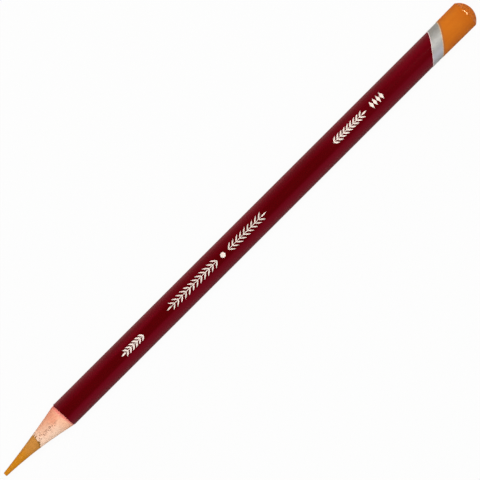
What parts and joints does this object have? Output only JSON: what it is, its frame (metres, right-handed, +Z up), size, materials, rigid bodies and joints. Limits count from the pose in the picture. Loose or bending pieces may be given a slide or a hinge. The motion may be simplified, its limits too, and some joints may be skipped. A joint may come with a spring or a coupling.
{
  "type": "pastel pencil",
  "caption": "Round lacquered pastel pencil with a soft core, ground to a long hollow point, with a slanting silver band and a coloured dip over its domed end.",
  "frame": {"origin": "on the barrel's axis, midway between the blunt tip and the top of the dome", "axes": "+X along the barrel towards the dipped end, so the point faces -X; +Z up, towards the side that carries the foil marks; the glue line between the slats lies in the XZ plane, with the left slat on the +Y side"},
  "size_m": [0.177, 0.0082, 0.0082],
  "materials": {
    "pastel": "dry, dusty ochre pastel, matte",
    "wood": "bare ground cedar, fine straight grain",
    "lacquer": "deep maroon lacquer, glossy",
    "silver_paint": "silver paint, satin",
    "dip_paint": "orange ochre dip, glossy"
  },
  "bodies": {
    "root": {"pastel_core": "pastel", "wood_slat_left": "wood", "wood_slat_right": "wood", "barrel_lacquer": "lacquer", "silver_band": "silver_paint", "end_dip": "dip_paint"}
  },
  "joints": []
}
